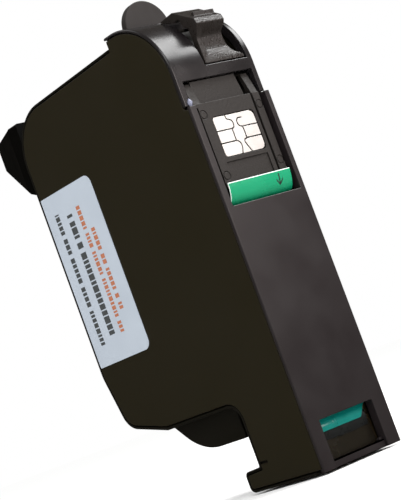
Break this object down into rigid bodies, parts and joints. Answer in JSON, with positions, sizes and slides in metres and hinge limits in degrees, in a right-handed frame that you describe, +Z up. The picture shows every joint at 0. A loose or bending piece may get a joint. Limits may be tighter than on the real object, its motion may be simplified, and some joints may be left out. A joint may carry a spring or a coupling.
{
  "type": "inkjet print cartridge",
  "caption": "Upright thermal inkjet cartridge in a slim clip-on front adapter, with a smart chip, a snap latch, a pull tape over the nozzles and a sprung ink bag inside.",
  "frame": {"origin": "middle of the bounding box's base, under the nose", "axes": "+Z up with the nozzles down, -Y to the narrow front with the chip, -X to the wide side with the label"},
  "size_m": [0.022, 0.0728, 0.1024],
  "materials": {
    "adapter_plastic": "black moulded ABS, satin",
    "side_paint": "satin black paint on steel sheet",
    "pen_plastic": "black glass-filled moulding, matt",
    "carrier_plastic": "charcoal moulded ABS, matt",
    "contact_metal": "silvery nickel plating on copper, satin",
    "glass_epoxy": "glass-epoxy strip",
    "black_epoxy": "black potting resin, semi-gloss",
    "green_tape": "green polyester tape",
    "blue_film": "clear blue film",
    "label_paper": "coated paper label",
    "natural_plastic": "natural polyethylene",
    "bag_film": "laminated film",
    "stainless": "stainless sheet",
    "silicon": "polished silicon",
    "polyimide": "amber polyimide film",
    "gold": "gold-plated nickel"
  },
  "bodies": {
    "body": {"front_cover": "adapter_plastic", "crown": "adapter_plastic", "chip_carrier": "carrier_plastic", "chip_substrate": "glass_epoxy", "chip_contacts": "contact_metal", "chip_potting": "black_epoxy", "pull_tape": "green_tape", "nozzle_tape": "blue_film", "label": "label_paper", "pen_frame": "pen_plastic", "handle": "pen_plastic", "inner_frame": "natural_plastic", "bow_spring": "stainless", "fill_ball": "stainless", "side_cover_left": "side_paint", "side_cover_right": "side_paint", "membrane_left": "bag_film", "membrane_right": "bag_film", "filter_screen_left": "stainless", "filter_screen_right": "stainless", "flex_circuit": "polyimide", "printhead_die": "silicon", "nozzle_plate": "gold", "encapsulant_front": "black_epoxy", "encapsulant_rear": "black_epoxy"},
    "latch": {"latch": "adapter_plastic"},
    "pull_tab": {"pull_tab": "green_tape"},
    "piston_left": {"piston_plate_left": "stainless"},
    "piston_right": {"piston_plate_right": "stainless"}
  },
  "joints": [
    {"name": "latch_flex", "type": "hinge", "parent": "body", "child": "latch", "pos_m": [0, -0.0341, 0.083], "axis": [-1, 0, 0], "range_deg": [0, 6], "stiffness_Nm_per_rad": 0.4},
    {"name": "pull_tab_fold", "type": "hinge", "parent": "body", "child": "pull_tab", "pos_m": [0, -0.034, 0.0541], "axis": [1, 0, 0], "range_deg": [0, 50], "stiffness_Nm_per_rad": 0.0005},
    {"name": "bag_collapse_left", "type": "slide", "parent": "body", "child": "piston_left", "axis": [1, 0, 0], "range_m": [0, 0.006], "stiffness_N_per_m": 30, "deforming": ["membrane_left", "bow_spring"]},
    {"name": "bag_collapse_right", "type": "slide", "parent": "body", "child": "piston_right", "axis": [-1, 0, 0], "range_m": [0, 0.006], "deforming": ["membrane_right"]}
  ],
  "couplings": [
    {"joint": "bag_collapse_right", "follows": "bag_collapse_left", "ratio": 1}
  ]
}
